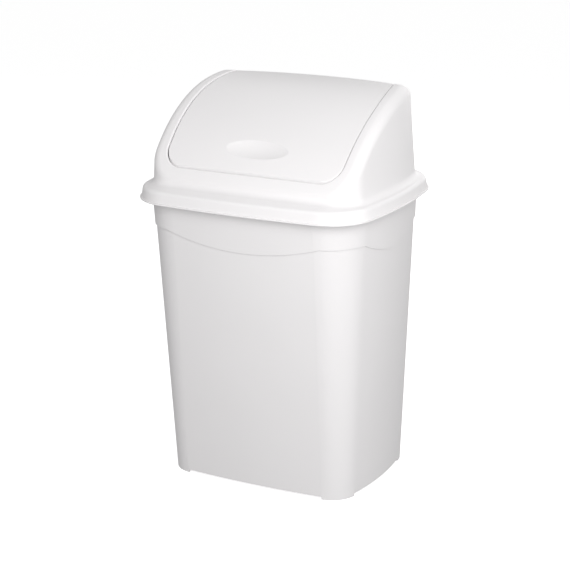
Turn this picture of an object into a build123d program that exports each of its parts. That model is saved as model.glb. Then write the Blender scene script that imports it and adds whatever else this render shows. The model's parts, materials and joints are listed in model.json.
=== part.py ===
from build123d import *
import os
from math import cos, hypot, radians, sin, sqrt, tan

# Swing-lid bin in polypropylene: a tapered tub, a hooded lid that lifts off, and a curved flap that
# tips inwards on two stub pins.  X is the width, Y runs from the front (-Y) to the back, Z is up,
# and the origin is on the floor under the middle of the rim.

# ---------------------------------------------------------------- driving dimensions (mm)
wall = 2.2                      # moulded wall of the tub and the lid
reach = 600.0                   # length that is sure to pass right through the bin
ellipse_pull = 0.5523           # pull of a Bezier quarter that makes it an ellipse's quarter
tolerance = 0.02                # an edge this near to a surface lies on it

# tub
tub_half_x = 177.2              # half width of the foot, at the middle of the side
tub_half_y = 130.2              # half depth of the foot, at the middle of the side
tub_corner = 47.0               # plan radius of the corners at the foot
side_bow = 7.2                  # how far the side walls bulge between their corners
front_bow = 5.0                 # the same for the front and the back
tub_draft = 2.826               # degrees that each wall leans out
rim_top = 499.8                 # height of the rim that the lid rests on
floor_under = 5.0               # height of the floor's underside
floor_thickness = 2.6
floor_round = 9.0               # radius inside, between floor and wall
foot_wall = 3.4                 # wall of the moulded corner feet
foot_gap_x = 127.0              # half width of the raised edge between the two front feet
foot_gap_front = -88.0          # the raised edge between the two feet of a side runs from here
foot_gap_rear = 78.0            # to here

# swag-shaped waist band around the top of the tub
band_proud = 2.3
band_from = 405.0
swag_cap = 435.0                # the band is complete above this height
swag_front_low = 414.2
swag_front_half = 138.0         # half width at which the front swag reaches the cap
swag_side_low = 412.5
swag_side_half = 93.0           # the same for the side swag

# rolled rim of the tub
rim_out = 6.0                   # overhang of the rim beyond the wall
rim_lip_bottom = 488.0
rim_lip = 2.0                   # thickness of the rim's downturned edge
rim_plate = 2.4
rim_round = 1.6

# lid skirt
lip_half_x = 218.5
lip_half_y = 173.5
lip_corner = 76.0
lip_bottom = 480.0
bead_height = 2.8
bead_out = 2.2                  # how far the bead at the lower edge stands out
bead_round = 1.0
skirt_draft = 9.0
shoulder_top = rim_top + wall   # height of the shoulder's flat outer strip
shoulder_round = 7.0
crease_in = 12.0                # offset of the crease where the shoulder starts to climb
seat_width = 6.0                # extra width of the flat underside that rests on the tub's rim
climb_in = 50.0                 # offset at which the climbing shoulder is well inside the hood
climb_angle = 15.0              # degrees
base_fillet = 11.0              # fillet between the shoulder and the hood wall

# hood
hood_widest = 197.2             # half width at its widest, where the hood meets the shoulder
hood_widest_y = 15.0
hood_side_front = 1000.0        # plan radius of the side ahead of its widest point
hood_side_rear = 450.0          # plan radius of the side behind its widest point
hood_front = -138.5             # front and back on the middle line
hood_front_radius = 3400.0
hood_back = 146.0
hood_back_radius = 600.0
hood_front_corner = 48.0
hood_rear_corner = 28.0
hood_base = 508.0
hood_bottom = 490.0             # the hood block starts inside the skirt
hood_height = 200.0
hood_draft = 3.7                # degrees
hood_round = 17.0               # radius along the hood's top edges

# arc of the front, seen from the side
arc_y = 113.8
arc_z = 357.1
arc_radius = 298.1              # outer surface of the frame around the flap

# opening in the hood, in plan
opening_front = -121.5
opening_through = 98.0          # the ledge under the flap's top edge starts here
opening_widest = 163.7          # half width of the opening at its widest
opening_widest_y = -22.0
opening_side_front = 1177.0     # plan radius of its side ahead of the widest point
opening_side_rear = 561.0       # plan radius of its side behind the widest point
opening_corner_x = 34.0         # how far the lower corners' rounding reaches in X and in Y
opening_corner_y = 22.0
frame_round = 2.5               # radius where the frame turns down into the opening
flare_height = 12.0             # size of the cutter that shapes this radius, above the hood
flare_width = 6.0               # and beyond the opening
collar_depth = 4.4              # depth of the thickened edge around the opening
collar_width = 3.5

# flap
flap_step = 1.8                 # the flap lies this far below the frame
flap_skin = 2.0
flap_round = 1.5                # radius along the flap's upper edge
flap_gap = 1.2                  # gap between the flap's edge and the opening
flap_flange = 7.0               # depth of the stiffening flange around the flap
flap_rear = 125.5               # where the flap's top edge ends, on the middle line
ledge_gap = 0.7                 # the ledge lies this far below the flap
ledge_rear = 175.0              # the ledge's cut runs out through the back

# pivot
pivot_angle = 32.6              # place of the pivot along the arc, in degrees forward of its top
pivot_depth = 10.5              # depth of the pivot below the flap's outer surface
pin_radius = 4.0
pin_clearance = 0.08            # running clearance in the hood's bosses
pin_head_radius = 7.0
pin_head = 2.2
pin_chamfer = 0.8
ear_x = 159.6                   # inner face of the flap's ears
ear_plate = 2.6
ear_radius = 9.0
hanger_x = 164.9                # inner face of the hood's hanger plates
hanger_plate = 2.5
hanger_radius = 17.0
boss_radius = 8.5
boss_length = 6.5

# stop that ends the flap's swing
flap_swing = 50.0               # degrees
lug_angle = 302.6               # direction of the hanger's lug from the pivot, degrees from +Y
lug_start = 10.6
lug_width = 6.0
lug_reach = 4.4                 # how far the lug stands in from the hanger plate
nose_tip = 15.0
nose_width = 6.0
stop_spread = 26.0              # degrees between the middles of nose and lug when they touch
stop_slack = 1.5                # degrees left between nose and lug at the full swing
nose_angle = lug_angle - stop_spread - stop_slack - flap_swing

# finger scoop in the flap
scoop_angle = 43.9
scoop_half_length = 57.0
scoop_half_height = 18.5
scoop_depth = 6.0


def bowed_outline(height, half_x, half_y, corner, bow_x, bow_y, grow=0.0):
    """Closed plan outline with outward-bowed sides and rounded corners, grown by an offset."""
    core_x = half_x - corner - bow_x
    core_y = half_y - corner - bow_y
    with BuildSketch(Plane.XY.offset(height)) as outline:
        with BuildLine():
            ThreePointArc((-core_x, -core_y), (0, -core_y - bow_y), (core_x, -core_y))
            ThreePointArc((core_x, -core_y), (core_x + bow_x, 0), (core_x, core_y))
            ThreePointArc((core_x, core_y), (0, core_y + bow_y), (-core_x, core_y))
            ThreePointArc((-core_x, core_y), (-core_x - bow_x, 0), (-core_x, -core_y))
        make_face()
        offset(amount=corner + grow, kind=Kind.ARC)
    return outline.sketch


# ---------------------------------------------------------------- tub
def tub_outline(height, grow=0.0, lean_height=None):
    """Plan outline of the tub's outer wall; the draft is that of lean_height where it is given."""
    lean = (height if lean_height is None else lean_height) * tan(radians(tub_draft))
    return bowed_outline(height, tub_half_x, tub_half_y, tub_corner, side_bow, front_bow, grow=lean + grow)


def swag_region(plane, half, low):
    """Everything above a swag: an arc that sags from the cap height to its low point."""
    with BuildPart() as region:
        with BuildSketch(plane):
            with BuildLine():
                ThreePointArc((-half, swag_cap), (0, low), (half, swag_cap))
                Polyline((half, swag_cap), (reach, swag_cap), (reach, reach), (-reach, reach),
                         (-reach, swag_cap), (-half, swag_cap))
            make_face()
        extrude(amount=reach, both=True)
    return region.part


with BuildPart() as tub_cavity:
    cavity_floor = floor_under + floor_thickness
    extrude(tub_outline(cavity_floor, -wall), amount=rim_top - cavity_floor + 1, taper=-tub_draft)
    fillet(tub_cavity.edges().group_by(Axis.Z)[0], floor_round)

with BuildPart() as above_swags:
    add(swag_region(Plane.XZ, swag_front_half, swag_front_low))
    add(swag_region(Plane.YZ, swag_side_half, swag_side_low))

with BuildPart() as waist_band:
    extrude(tub_outline(band_from, band_proud), amount=rim_lip_bottom - band_from, taper=-tub_draft)
    add(above_swags.part, mode=Mode.INTERSECT)

with BuildPart() as rim:
    extrude(tub_outline(rim_lip_bottom, rim_out, rim_top), amount=rim_top - rim_lip_bottom)
    fillet(rim.edges().group_by(Axis.Z)[-1], rim_round)
    extrude(tub_outline(rim_lip_bottom, rim_out - rim_lip, rim_top),
            amount=rim_top - rim_plate - rim_lip_bottom, mode=Mode.SUBTRACT)

with BuildPart() as foot_gaps:
    Box(2 * foot_gap_x, reach, floor_under, align=(Align.CENTER, Align.CENTER, Align.MIN))
    with Locations((0, foot_gap_front)):
        Box(reach, foot_gap_rear - foot_gap_front, floor_under,
            align=(Align.CENTER, Align.MIN, Align.MIN))
    extrude(tub_outline(0, -foot_wall), amount=floor_under)

with BuildPart() as tub:
    extrude(tub_outline(0), amount=rim_top, taper=-tub_draft)
    add(waist_band.part)
    add(rim.part)
    add(tub_cavity.part, mode=Mode.SUBTRACT)
    add(foot_gaps.part, mode=Mode.SUBTRACT)


# ---------------------------------------------------------------- lid
def lip_outline(height, grow=0.0):
    """Plan outline of the lid's lower edge, grown by an offset."""
    return bowed_outline(height, lip_half_x, lip_half_y, lip_corner, side_bow, front_bow, grow=grow)


def skirt_block(inset, crease):
    """Solid under the lid's skirt and climbing shoulder, shrunk by an inset."""
    top = shoulder_top - inset
    climb = (climb_in - crease) * tan(radians(climb_angle))
    with BuildPart() as block:
        extrude(lip_outline(lip_bottom, -bead_out - inset), amount=top - lip_bottom, taper=skirt_draft)
        fillet(block.edges().group_by(Axis.Z)[-1], shoulder_round - inset)
        loft([lip_outline(top, -crease), lip_outline(top + climb, -climb_in)])
    return block.part


def plan_half(y_sign, widest, radius, end_middle, end_radius):
    """Plan region ahead of (-1) or behind (+1) the hood's widest line, as a crossing of circles."""
    end_centre = end_middle - y_sign * end_radius
    with BuildSketch(Plane.XY.offset(hood_bottom)) as half:
        with Locations((0, hood_widest_y + y_sign * reach / 2)):
            Rectangle(reach, reach)
        with Locations((widest - radius, hood_widest_y)):
            Circle(radius, mode=Mode.INTERSECT)
        with Locations((radius - widest, hood_widest_y)):
            Circle(radius, mode=Mode.INTERSECT)
        with Locations((0, end_centre)):
            Circle(end_radius, mode=Mode.INTERSECT)
    return half.sketch


def hood_outline(grow):
    """Plan outline of the hood, grown by an offset from its size at the base."""
    widest = hood_widest + grow
    with BuildSketch(Plane.XY.offset(hood_bottom)) as outline:
        add(plan_half(-1, widest, hood_side_front + grow, hood_front - grow, hood_front_radius + grow))
        add(plan_half(1, widest, hood_side_rear + grow, hood_back + grow, hood_back_radius + grow))
        fillet(outline.vertices().group_by(Axis.Y)[0], hood_front_corner + grow)
        fillet(outline.vertices().group_by(Axis.Y)[-1], hood_rear_corner + grow)
    return outline.sketch


def arc_point(angle, radius):
    """Point (y, z) on the side-view arc; the angle is measured forwards from straight up."""
    return (arc_y - radius * sin(radians(angle)), arc_z + radius * cos(radians(angle)))


def inside_arc(inset):
    """Solid cylinder under the side-view arc, along X, shrunk by an inset."""
    with BuildPart() as cylinder:
        with BuildSketch(Plane.YZ):
            with Locations((arc_y, arc_z)):
                Circle(arc_radius - inset)
        extrude(amount=reach, both=True)
    return cylinder.part


def hood_block(inset):
    """Solid inside the hood's outer surface, shrunk by an inset."""
    lean = (hood_base - hood_bottom) * tan(radians(hood_draft))
    with BuildPart() as block:
        extrude(hood_outline(lean - inset), amount=hood_height, taper=hood_draft)
        add(inside_arc(inset), mode=Mode.INTERSECT)
        arc_face = block.faces().filter_by(GeomType.CYLINDER).sort_by(SortBy.AREA)[-1]
        fillet(arc_face.edges(), hood_round - inset)
    return block.part


def opening_half(widest, y):
    """Half width of the opening at a distance y, for a given half width at its widest."""
    radius = opening_side_front if y < opening_widest_y else opening_side_rear
    centre = radius - opening_widest
    return sqrt((centre + widest) ** 2 - (y - opening_widest_y) ** 2) - centre


def opening_prism(rear, grow=0.0):
    """Upright prism over the plan outline of the opening, up to a straight rear line."""
    widest = opening_widest + grow
    front, rear = opening_front - grow, rear + grow
    corner_x, corner_y = opening_corner_x + grow, opening_corner_y + grow
    corner_top = (opening_half(widest, front + corner_y), front + corner_y)
    corner_end = (corner_top[0] - corner_x, front)
    side_slope = (opening_widest_y - corner_top[1]) / (opening_side_front + grow)
    pull_x, pull_y = ellipse_pull * corner_x, ellipse_pull * corner_y
    rear_end = (opening_half(widest, rear), rear)
    middle_side = (widest, opening_widest_y)
    with BuildPart() as prism:
        with BuildSketch(Plane.XY.offset(lip_bottom)):
            with BuildLine():
                Bezier(corner_end, (corner_end[0] + pull_x, front),
                       (corner_top[0] - side_slope * pull_y, corner_top[1] - pull_y), corner_top)
                between = (corner_top[1] + opening_widest_y) / 2
                ThreePointArc(corner_top, (opening_half(widest, between), between), middle_side)
                between = (rear + opening_widest_y) / 2
                ThreePointArc(middle_side, (opening_half(widest, between), between), rear_end)
                mirror(about=Plane.YZ)
                Line((-corner_end[0], front), corner_end)
                Line((-rear_end[0], rear), rear_end)
            make_face()
        extrude(amount=reach)
    return prism.part


ledge_inset = flap_step + flap_skin + ledge_gap


def behind(y):
    """Everything behind a distance y."""
    with BuildPart() as region:
        with BuildSketch(Plane.XY.offset(lip_bottom)):
            with Locations((0, y)):
                Rectangle(2 * reach, reach, align=(Align.CENTER, Align.MIN))
        extrude(amount=reach)
    return region.part


def on_arc(edges, inset):
    """The edges that lie on the side-view arc, shrunk by an inset, ahead of the hood's back."""
    def along(edge):
        points = [edge.position_at(place) for place in (0.1, 0.5, 0.9)]
        offsets = [hypot(point.Y - arc_y, point.Z - arc_z) - arc_radius + inset for point in points]
        return max(map(abs, offsets)) < tolerance and points[1].Y < hood_back
    return edges.filter_by(along)


with BuildPart() as collar:
    add(hood_block(wall / 2))
    add(hood_block(collar_depth), mode=Mode.SUBTRACT)
    add(opening_prism(opening_through, collar_width), mode=Mode.INTERSECT)

with BuildPart() as ledge:
    add(hood_block(wall / 2))
    add(opening_prism(ledge_rear, wall), mode=Mode.INTERSECT)
    add(behind(opening_through), mode=Mode.INTERSECT)
    add(inside_arc(ledge_inset + wall), mode=Mode.SUBTRACT)

with BuildPart() as over_opening:
    add(inside_arc(-flare_height))
    add(inside_arc(0), mode=Mode.SUBTRACT)
    add(opening_prism(ledge_rear, flare_width), mode=Mode.INTERSECT)

with BuildPart() as under_ledge:
    add(behind(opening_through))
    add(inside_arc(ledge_inset), mode=Mode.INTERSECT)

with BuildPart() as opening_cutter:
    opening_solid = opening_prism(ledge_rear)
    add(opening_solid)
    add(over_opening.part)
    meeting = new_edges(opening_solid, over_opening.part, combined=opening_cutter.part)
    fillet(on_arc(meeting, 0), frame_round)
    add(under_ledge.part, mode=Mode.SUBTRACT)

pivot_y, pivot_z = arc_point(pivot_angle, arc_radius - flap_step - pivot_depth)
outward = pivot_angle + 90.0    # direction from the pivot out through the flap, degrees from +Y


def from_pivot(angle, radius):
    """Point (y, z) around the pivot; the angle is counted from +Y towards +Z."""
    return (pivot_y + radius * cos(radians(angle)), pivot_z + radius * sin(radians(angle)))


def spoke(angle, start, end, width):
    """Rectangle in the side view that points away from the pivot, as a list of corners."""
    half = width / 2
    near, far = from_pivot(angle, start), from_pivot(angle, end)
    across = (-sin(radians(angle)) * half, cos(radians(angle)) * half)
    return [(near[0] + across[0], near[1] + across[1]), (near[0] - across[0], near[1] - across[1]),
            (far[0] - across[0], far[1] - across[1]), (far[0] + across[0], far[1] + across[1])]


with BuildPart() as hanger:
    with BuildSketch(Plane.YZ.offset(hanger_x)):
        with Locations((pivot_y, pivot_z)):
            Circle(hanger_radius)
        Polygon(*spoke(outward, 0, 2 * hanger_radius, 2 * hanger_radius), align=None)
    extrude(amount=hanger_plate)
    with BuildSketch(Plane.YZ.offset(hanger_x)):
        with Locations((pivot_y, pivot_z)):
            Circle(boss_radius)
    extrude(amount=boss_length)
    with BuildSketch(Plane.YZ.offset(hanger_x - lug_reach)):
        Polygon(*spoke(lug_angle, lug_start, hanger_radius, lug_width), align=None)
    extrude(amount=lug_reach + hanger_plate)
    add(hood_block(wall / 2), mode=Mode.INTERSECT)

with BuildPart() as pin_bore:
    with BuildSketch(Plane.YZ):
        with Locations((pivot_y, pivot_z)):
            Circle(pin_radius + pin_clearance)
    extrude(amount=hanger_x + boss_length + pin_clearance, both=True)

with BuildPart() as lip_bead:
    extrude(lip_outline(lip_bottom), amount=bead_height)
    bead_edges = lip_bead.edges().group_by(Axis.Z)
    fillet(bead_edges[0] + bead_edges[-1], bead_round)

with BuildPart() as lid_hood:
    skirt_solid = skirt_block(0, crease_in)
    hood_solid = hood_block(0)
    add(skirt_solid)
    add(hood_solid)
    fillet(new_edges(skirt_solid, hood_solid, combined=lid_hood.part), base_fillet)
    add(lip_bead.part)
    add(skirt_block(wall, crease_in + seat_width), mode=Mode.SUBTRACT)
    add(hood_block(wall), mode=Mode.SUBTRACT)
    add(collar.part)
    add(ledge.part)
    add(hanger.part)
    add(mirror(hanger.part, about=Plane.YZ, mode=Mode.PRIVATE))
    add(opening_cutter.part, mode=Mode.SUBTRACT)
    add(pin_bore.part, mode=Mode.SUBTRACT)


# ---------------------------------------------------------------- flap
def scoop_spindle(grow):
    """Spindle along X whose belly dishes the finger scoop into the flap, grown by a thickness."""
    belly = (scoop_half_height ** 2 + scoop_depth ** 2) / (2 * scoop_depth)
    axis_out = belly - scoop_depth
    bow = scoop_half_length ** 2 / (2 * scoop_depth)
    belly = belly + grow
    tip = sqrt(2 * bow * belly - belly ** 2)
    axis_y, axis_z = arc_point(scoop_angle, arc_radius - flap_step + axis_out)
    with BuildPart() as spindle:
        with BuildSketch(Plane((0, axis_y, axis_z), x_dir=(1, 0, 0), z_dir=(0, -1, 0))):
            with BuildLine():
                ThreePointArc((-tip, 0), (0, belly), (tip, 0))
                Line((tip, 0), (-tip, 0))
            make_face()
        revolve(axis=Axis((0, axis_y, axis_z), (1, 0, 0)))
    return spindle.part


with BuildPart() as scoop_wall:
    add(scoop_spindle(flap_skin))
    add(inside_arc(flap_step + flap_skin / 2), mode=Mode.INTERSECT)

with BuildPart() as flap_blank:
    add(inside_arc(flap_step))
    add(opening_prism(ledge_rear, -flap_gap), mode=Mode.INTERSECT)
    fillet(on_arc(flap_blank.edges(), flap_step), flap_round)
    with BuildSketch(Plane.XY.offset(lip_bottom)):
        with Locations((0, flap_rear - hood_back_radius)):
            Circle(hood_back_radius)
    extrude(amount=reach, mode=Mode.INTERSECT)

with BuildPart() as flap_skin_shell:
    add(flap_blank.part)
    add(inside_arc(flap_step + flap_skin), mode=Mode.SUBTRACT)

with BuildPart() as flap_flanges:
    add(flap_blank.part)
    add(inside_arc(flap_step + flap_flange), mode=Mode.SUBTRACT)
    add(behind(opening_through - flap_gap), mode=Mode.SUBTRACT)
    add(opening_prism(ledge_rear, -flap_gap - flap_skin), mode=Mode.SUBTRACT)

with BuildPart() as ear:
    with BuildSketch(Plane.YZ.offset(ear_x)):
        with Locations((pivot_y, pivot_z)):
            Circle(ear_radius)
        Polygon(*spoke(outward, 0, pivot_depth, 2 * ear_radius), align=None)
        Polygon(*spoke(nose_angle, 0, nose_tip, nose_width), align=None)
    extrude(amount=ear_plate)
    add(inside_arc(flap_step + flap_skin / 2), mode=Mode.INTERSECT)

with BuildPart() as ear_bore:
    with BuildSketch(Plane.YZ):
        with Locations((pivot_y, pivot_z)):
            Circle(pin_radius)
    extrude(amount=hanger_x, both=True)

with BuildPart() as swing_flap:
    add(flap_skin_shell.part)
    add(flap_flanges.part)
    add(scoop_wall.part)
    add(scoop_spindle(0), mode=Mode.SUBTRACT)
    add(ear.part)
    add(mirror(ear.part, about=Plane.YZ, mode=Mode.PRIVATE))
    add(ear_bore.part, mode=Mode.SUBTRACT)


# ---------------------------------------------------------------- pivot pins
with BuildPart() as pivot_pin_right:
    with BuildSketch(Plane.YZ.offset(ear_x - pin_head)):
        with Locations((pivot_y, pivot_z)):
            Circle(pin_head_radius)
    extrude(amount=pin_head)
    with BuildSketch(Plane.YZ.offset(ear_x)):
        with Locations((pivot_y, pivot_z)):
            Circle(pin_radius)
    extrude(amount=hanger_x + boss_length - ear_x)
    chamfer(pivot_pin_right.edges().group_by(Axis.X)[-1], pin_chamfer)
    fillet(pivot_pin_right.edges().group_by(Axis.X)[0], pin_chamfer)

with BuildPart() as pivot_pin_left:
    add(mirror(pivot_pin_right.part, about=Plane.YZ, mode=Mode.PRIVATE))


# ---------------------------------------------------------------- pieces
os.makedirs("parts", exist_ok=True)

tub.part.label = "tub"
export_step(tub.part, "parts/tub.step")
lid_hood.part.label = "lid_hood"
export_step(lid_hood.part, "parts/lid_hood.step")
swing_flap.part.label = "swing_flap"
export_step(swing_flap.part, "parts/swing_flap.step")
pivot_pin_left.part.label = "pivot_pin_left"
export_step(pivot_pin_left.part, "parts/pivot_pin_left.step")
pivot_pin_right.part.label = "pivot_pin_right"
export_step(pivot_pin_right.part, "parts/pivot_pin_right.step")
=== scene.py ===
import json
import math

import bpy
from mathutils import Matrix, Vector


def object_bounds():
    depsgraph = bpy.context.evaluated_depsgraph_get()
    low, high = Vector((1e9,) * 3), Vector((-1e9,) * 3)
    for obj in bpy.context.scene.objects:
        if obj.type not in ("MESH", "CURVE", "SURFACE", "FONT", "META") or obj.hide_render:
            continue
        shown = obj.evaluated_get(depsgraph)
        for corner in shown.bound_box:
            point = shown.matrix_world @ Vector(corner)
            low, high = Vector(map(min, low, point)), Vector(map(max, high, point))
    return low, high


# Looks of a white polypropylene swing-lid bin.  All lengths are in metres, in the frame of the model.

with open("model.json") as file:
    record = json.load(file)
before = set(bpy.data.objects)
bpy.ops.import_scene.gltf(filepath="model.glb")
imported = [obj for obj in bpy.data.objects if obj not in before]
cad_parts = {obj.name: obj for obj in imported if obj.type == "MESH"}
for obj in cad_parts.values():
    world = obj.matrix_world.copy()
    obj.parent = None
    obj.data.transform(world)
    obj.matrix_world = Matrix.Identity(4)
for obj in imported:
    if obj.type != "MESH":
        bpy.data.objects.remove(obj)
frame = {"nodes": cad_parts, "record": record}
cad_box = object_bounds()

# ---------------------------------------------------------------- measures
bin_low, bin_high = (Vector(corner) for corner in cad_box)
bin_size = bin_high - bin_low
bin_middle = (bin_low + bin_high) / 2

camera_azimuth = 28.7           # degrees, from the front towards the bin's right side
camera_elevation = 17.5
camera_roll = -0.9
camera_distance = 2.992
camera_aim = Vector((-0.0032, 0.0, 0.3174))
frame_pixels = 570
focal_pixels = 1776
sensor_width = 36.0             # millimetres

plastic_ior = 1.49
mottle_scale = 9.0              # noise cells per metre
wear_scale = 40.0
grain_scale = 900.0
grain_strength = 0.25
floor_spread = 200              # width of the floor in lengths of the bin
floor_colour = (0.92, 0.92, 0.92, 1.0)
floor_glow = 0.56
near_box = (1.6, 1.2)           # distance and size of the softboxes near the bin
far_box = (2.6, 1.8)
world_strength = 0.465


# ---------------------------------------------------------------- materials
def noise(nodes, scale, detail, roughness):
    """Noise texture over the object's own coordinates."""
    texture = nodes.new("ShaderNodeTexNoise")
    texture.inputs["Scale"].default_value = scale
    texture.inputs["Detail"].default_value = detail
    texture.inputs["Roughness"].default_value = roughness
    return texture


def moulded_plastic(name, colour, darker, roughness, grain_height):
    """White moulded polypropylene: faint mottling, uneven gloss and a fine moulded grain."""
    material = bpy.data.materials.new(name)
    material.use_nodes = True
    nodes, links = material.node_tree.nodes, material.node_tree.links
    shader = nodes["Principled BSDF"]
    shader.inputs["IOR"].default_value = plastic_ior
    coordinates = nodes.new("ShaderNodeTexCoord")

    mottle = noise(nodes, mottle_scale, 5.0, 0.55)
    links.new(coordinates.outputs["Object"], mottle.inputs["Vector"])
    tint = nodes.new("ShaderNodeMix")
    tint.data_type = "RGBA"
    tint.inputs["A"].default_value = (*darker, 1.0)
    tint.inputs["B"].default_value = (*colour, 1.0)
    links.new(mottle.outputs["Fac"], tint.inputs["Factor"])
    links.new(tint.outputs["Result"], shader.inputs["Base Color"])

    wear = noise(nodes, wear_scale, 6.0, 0.6)
    links.new(coordinates.outputs["Object"], wear.inputs["Vector"])
    gloss = nodes.new("ShaderNodeMapRange")
    gloss.inputs["To Min"].default_value = roughness - 0.04
    gloss.inputs["To Max"].default_value = roughness + 0.05
    links.new(wear.outputs["Fac"], gloss.inputs["Value"])
    links.new(gloss.outputs["Result"], shader.inputs["Roughness"])

    grain = noise(nodes, grain_scale, 3.0, 0.5)
    links.new(coordinates.outputs["Object"], grain.inputs["Vector"])
    bump = nodes.new("ShaderNodeBump")
    bump.inputs["Strength"].default_value = grain_strength
    bump.inputs["Distance"].default_value = grain_height
    links.new(grain.outputs["Fac"], bump.inputs["Height"])
    links.new(bump.outputs["Normal"], shader.inputs["Normal"])
    return material


materials = {
    "tub_plastic": moulded_plastic("tub_plastic", (0.80, 0.785, 0.79), (0.77, 0.755, 0.76), 0.46, 0.0002),
    "lid_plastic": moulded_plastic("lid_plastic", (0.83, 0.815, 0.82), (0.81, 0.795, 0.80), 0.38, 0.0001),
    "pin_plastic": moulded_plastic("pin_plastic", (0.78, 0.77, 0.77), (0.75, 0.74, 0.74), 0.35, 0.00005),
}
slots = {part["node"]: part["material_slot"] for part in frame["record"]["subparts"]}
for node, item in frame["nodes"].items():
    for place in item.material_slots:
        place.material = materials[slots[node]]


# ---------------------------------------------------------------- floor
def floor():
    """Pale floor plane, far wider than the bin."""
    width = floor_spread * max(bin_size)
    bpy.ops.mesh.primitive_plane_add(size=width, location=(bin_middle.x, bin_middle.y, bin_low.z))
    plane = bpy.context.object
    plane.name = "floor"
    pale = bpy.data.materials.new("pale_floor")
    pale.use_nodes = True
    shader = pale.node_tree.nodes["Principled BSDF"]
    shader.inputs["Base Color"].default_value = floor_colour
    shader.inputs["Roughness"].default_value = 0.75
    shader.inputs["Specular IOR Level"].default_value = 0.1
    shader.inputs["Emission Color"].default_value = (1.0, 1.0, 1.0, 1.0)
    shader.inputs["Emission Strength"].default_value = floor_glow
    plane.data.materials.append(pale)
    # The glowing floor lights nothing, so that the tub still darkens towards its foot.
    plane.visible_diffuse = False
    plane.visible_glossy = False


floor()


# ---------------------------------------------------------------- light
def around(azimuth, elevation, distance, aim):
    """Point at a distance from the aim; azimuth 0 is straight in front, positive is to the right."""
    azimuth, elevation = math.radians(azimuth), math.radians(elevation)
    level = distance * math.cos(elevation)
    height = distance * math.sin(elevation)
    return aim + Vector((level * math.sin(azimuth), -level * math.cos(azimuth), height))


def softbox(name, azimuth, elevation, distance, size, power):
    """Square area light that faces the middle of the bin."""
    light = bpy.data.lights.new(name, "AREA")
    light.shape = "SQUARE"
    light.size = size
    light.energy = power
    item = bpy.data.objects.new(name, light)
    bpy.context.scene.collection.objects.link(item)
    item.location = around(azimuth, elevation, distance, bin_middle)
    item.rotation_euler = (bin_middle - item.location).to_track_quat("-Z", "Y").to_euler()


softbox("key", 35.0, 22.0, *near_box, 16.2)
softbox("front", 5.0, 36.0, *near_box, 2.8)
softbox("side", 95.0, 20.0, *near_box, 4.2)
softbox("behind", 200.0, 60.0, *near_box, 3.4)
softbox("back_fill", 180.0, 15.0, *far_box, 14.0)

world = bpy.data.worlds.new("studio")
world.use_nodes = True
world.node_tree.nodes["Background"].inputs["Color"].default_value = (1.0, 1.0, 1.0, 1.0)
world.node_tree.nodes["Background"].inputs["Strength"].default_value = world_strength
bpy.context.scene.world = world
bpy.context.scene.view_settings.view_transform = "Standard"


# ---------------------------------------------------------------- camera
def camera():
    """Camera at the fitted viewing angle, rolled a little about its own axis."""
    data = bpy.data.cameras.new("camera")
    data.sensor_width = sensor_width
    data.lens = focal_pixels / frame_pixels * sensor_width
    item = bpy.data.objects.new("camera", data)
    bpy.context.scene.collection.objects.link(item)
    place = around(camera_azimuth, camera_elevation, camera_distance, camera_aim)
    back = (place - camera_aim).normalized()
    right = Vector((0, 0, 1)).cross(back).normalized()
    turn = Matrix.Rotation(math.radians(camera_roll), 3, back)
    right = turn @ right
    up = back.cross(right)
    item.matrix_world = Matrix.Translation(place) @ Matrix((right, up, back)).transposed().to_4x4()
    bpy.context.scene.camera = item


camera()
